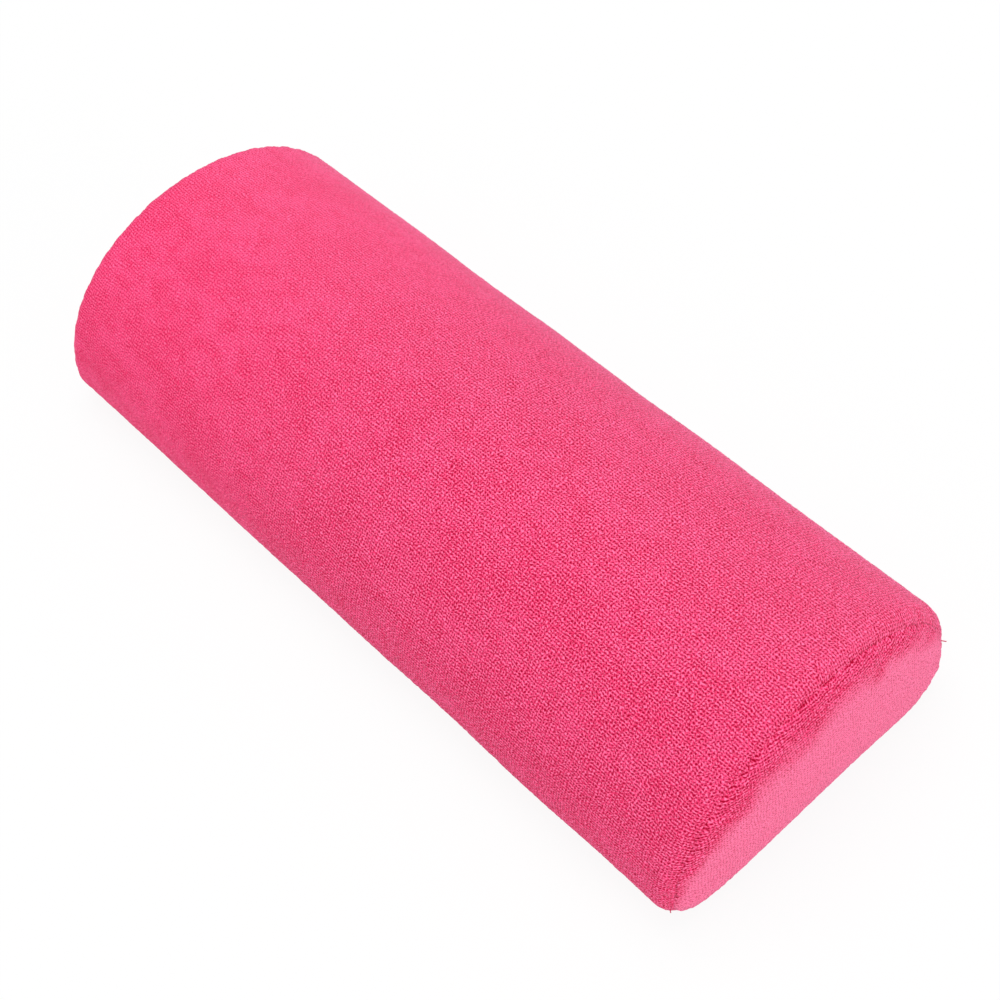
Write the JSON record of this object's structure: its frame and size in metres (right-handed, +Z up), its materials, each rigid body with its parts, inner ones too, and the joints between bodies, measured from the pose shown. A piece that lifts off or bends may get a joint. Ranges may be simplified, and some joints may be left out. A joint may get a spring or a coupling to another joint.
{
  "type": "manicure hand rest",
  "caption": "Half-column foam cushion in a sewn pink towelling cover with a zip in its flat base, for resting a hand on.",
  "frame": {"origin": "under the middle of the cushion, on the surface that it stands on", "axes": "+X along the cushion towards the end that faces the camera, +Y across it away from the camera, +Z up out of the arch"},
  "size_m": [0.3, 0.12, 0.065],
  "materials": {
    "towelling": "looped cotton towelling, matt with a soft nap",
    "foam": "open-cell polyurethane foam",
    "zip_tape": "woven polyester tape",
    "zip_coil": "nylon coil",
    "zip_metal": "nickel-plated die casting"
  },
  "bodies": {
    "cushion": {"foam_core": "foam", "top_panel": "towelling", "end_panel_near": "towelling", "end_panel_far": "towelling", "base_panel_front": "towelling", "base_panel_rear": "towelling", "zip_tape_front": "zip_tape", "zip_tape_rear": "zip_tape", "zip_coil_front": "zip_coil", "zip_coil_rear": "zip_coil", "zip_top_stop_front": "zip_metal", "zip_top_stop_rear": "zip_metal", "zip_bottom_stop": "zip_metal"},
    "slider": {"zip_slider": "zip_metal"},
    "pull": {"zip_pull": "zip_metal"}
  },
  "joints": [
    {"name": "zip_slide", "type": "slide", "parent": "cushion", "child": "slider", "axis": [-1, 0, 0], "range_m": [0, 0.2205], "deforming": ["zip_coil_front", "zip_coil_rear", "zip_tape_front", "zip_tape_rear"]},
    {"name": "pull_swing", "type": "hinge", "parent": "slider", "child": "pull", "pos_m": [0.11035, 0, 0.00215], "axis": [0, -1, 0], "range_deg": [0, 175]}
  ]
}
